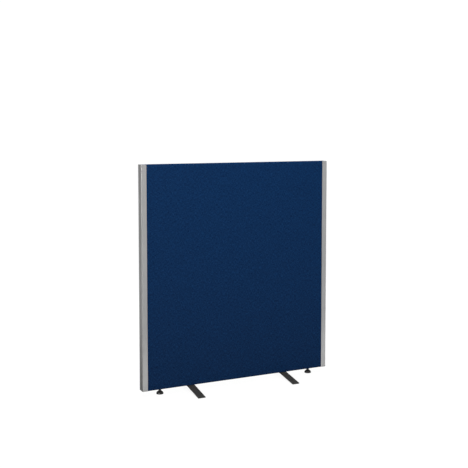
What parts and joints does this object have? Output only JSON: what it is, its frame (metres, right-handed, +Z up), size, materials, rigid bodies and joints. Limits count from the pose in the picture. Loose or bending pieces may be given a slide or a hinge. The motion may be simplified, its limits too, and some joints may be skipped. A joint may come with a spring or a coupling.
{
  "type": "acoustic divider screen",
  "caption": "Free-standing acoustic screen: a cloth-covered panel held in slim upright edge trims, on low bent-bar feet and screw-adjusted levelling glides.",
  "frame": {"origin": "on the floor under the middle of the panel, which is the centre of the bounding box's bottom", "axes": "+X along the panel to the viewer's right, the front faces -Y, +Z up"},
  "size_m": [1.125, 0.338, 1.229],
  "materials": {
    "navy_cloth": "woven wool-look cloth",
    "white_foam": "open-cell foam",
    "mineral_wool": "fibrous slab",
    "hardboard": "smooth board",
    "frame_timber": "planed softwood",
    "dowel_beech": "turned beech",
    "silver_aluminium": "silver satin",
    "silver_plastic": "silver satin",
    "black_coated_steel": "fine textured black powder coat",
    "black_zinc_steel": "black zinc",
    "zinc_steel": "bright zinc",
    "black_plastic": "moulded satin"
  },
  "bodies": {
    "root": {"frame_top_rail": "frame_timber", "frame_bottom_rail": "frame_timber", "frame_left_stile": "frame_timber", "frame_right_stile": "frame_timber", "frame_centre_batten": "frame_timber", "frame_dowels": "dowel_beech", "left_acoustic_core": "mineral_wool", "right_acoustic_core": "mineral_wool", "front_board": "hardboard", "rear_board": "hardboard", "front_foam": "white_foam", "rear_foam": "white_foam", "fabric_cover": "navy_cloth", "fabric_staples": "zinc_steel", "left_trim": "silver_aluminium", "left_infill_strip": "silver_plastic", "left_top_cap": "silver_plastic", "left_bottom_cap": "silver_plastic", "left_trim_screws": "zinc_steel", "left_foot": "black_coated_steel", "left_foot_screws": "black_zinc_steel", "left_foot_inserts": "zinc_steel", "left_glide_insert": "zinc_steel", "right_trim": "silver_aluminium", "right_infill_strip": "silver_plastic", "right_top_cap": "silver_plastic", "right_bottom_cap": "silver_plastic", "right_trim_screws": "zinc_steel", "right_foot": "black_coated_steel", "right_foot_screws": "black_zinc_steel", "right_foot_inserts": "zinc_steel", "right_glide_insert": "zinc_steel"},
    "left_glide_pad": {"left_glide_pad": "black_plastic"},
    "left_glide_stem": {"left_glide_stem": "black_zinc_steel"},
    "right_glide_pad": {"right_glide_pad": "black_plastic"},
    "right_glide_stem": {"right_glide_stem": "black_zinc_steel"}
  },
  "joints": [
    {"name": "left_glide_height", "type": "slide", "parent": "root", "child": "left_glide_pad", "axis": [0, 0, -1], "range_m": [-0.006, 0.012]},
    {"name": "left_glide_turn", "type": "hinge", "parent": "left_glide_pad", "child": "left_glide_stem", "pos_m": [-0.4575, 0, 0], "axis": [0, 0, -1], "range_deg": [-1730, 3460]},
    {"name": "right_glide_height", "type": "slide", "parent": "root", "child": "right_glide_pad", "axis": [0, 0, -1], "range_m": [-0.006, 0.012]},
    {"name": "right_glide_turn", "type": "hinge", "parent": "right_glide_pad", "child": "right_glide_stem", "pos_m": [0.4575, 0, 0], "axis": [0, 0, -1], "range_deg": [-1730, 3460]}
  ],
  "couplings": [
    {"joint": "left_glide_turn", "follows": "left_glide_height", "rad_per_m": 5026.5},
    {"joint": "right_glide_turn", "follows": "right_glide_height", "rad_per_m": 5026.5}
  ]
}
